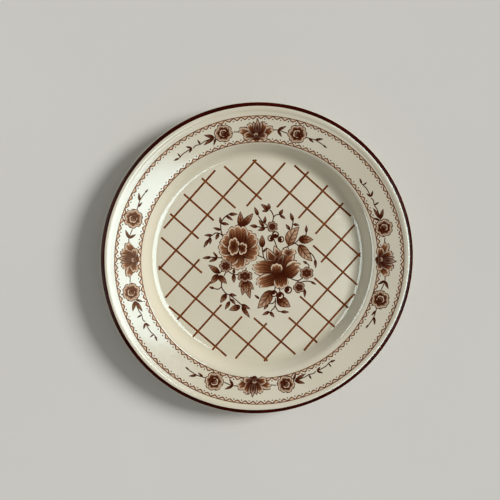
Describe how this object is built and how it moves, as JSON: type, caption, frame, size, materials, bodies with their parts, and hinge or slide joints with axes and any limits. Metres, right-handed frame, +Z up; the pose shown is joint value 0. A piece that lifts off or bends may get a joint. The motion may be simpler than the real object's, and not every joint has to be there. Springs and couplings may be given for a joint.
{
  "type": "dinner plate",
  "caption": "Round glazed ceramic dinner plate with a flat well, a sloped flange, a rolled lip, a dark rim band and brown floral and trellis prints.",
  "frame": {"origin": "centre of the foot ring on the table plane, the middle of the bottom of the bounding box", "axes": "+Z up out of the eating surface along the axis of revolution, +Y towards the top of the printed pattern, +X towards its right"},
  "size_m": [0.266, 0.266, 0.024],
  "materials": {
    "bisque": "bare fired clay, matt and slightly sandy",
    "glaze": "glossy warm cream glaze",
    "band_enamel": "glossy dark maroon-brown band",
    "border_ink": "glossy light brown print",
    "flower_ink": "glossy brown print shading from dark to tan",
    "trellis_ink": "glossy dark brown print"
  },
  "bodies": {
    "root": {"bisque_body": "bisque", "glaze_coat": "glaze", "base_glaze": "glaze", "rim_band": "band_enamel", "outer_border_print": "border_ink", "inner_border_print": "border_ink", "spray_top": "flower_ink", "spray_right": "flower_ink", "spray_bottom": "flower_ink", "spray_left": "flower_ink", "trellis_print": "trellis_ink", "bouquet_print": "flower_ink"}
  },
  "joints": []
}
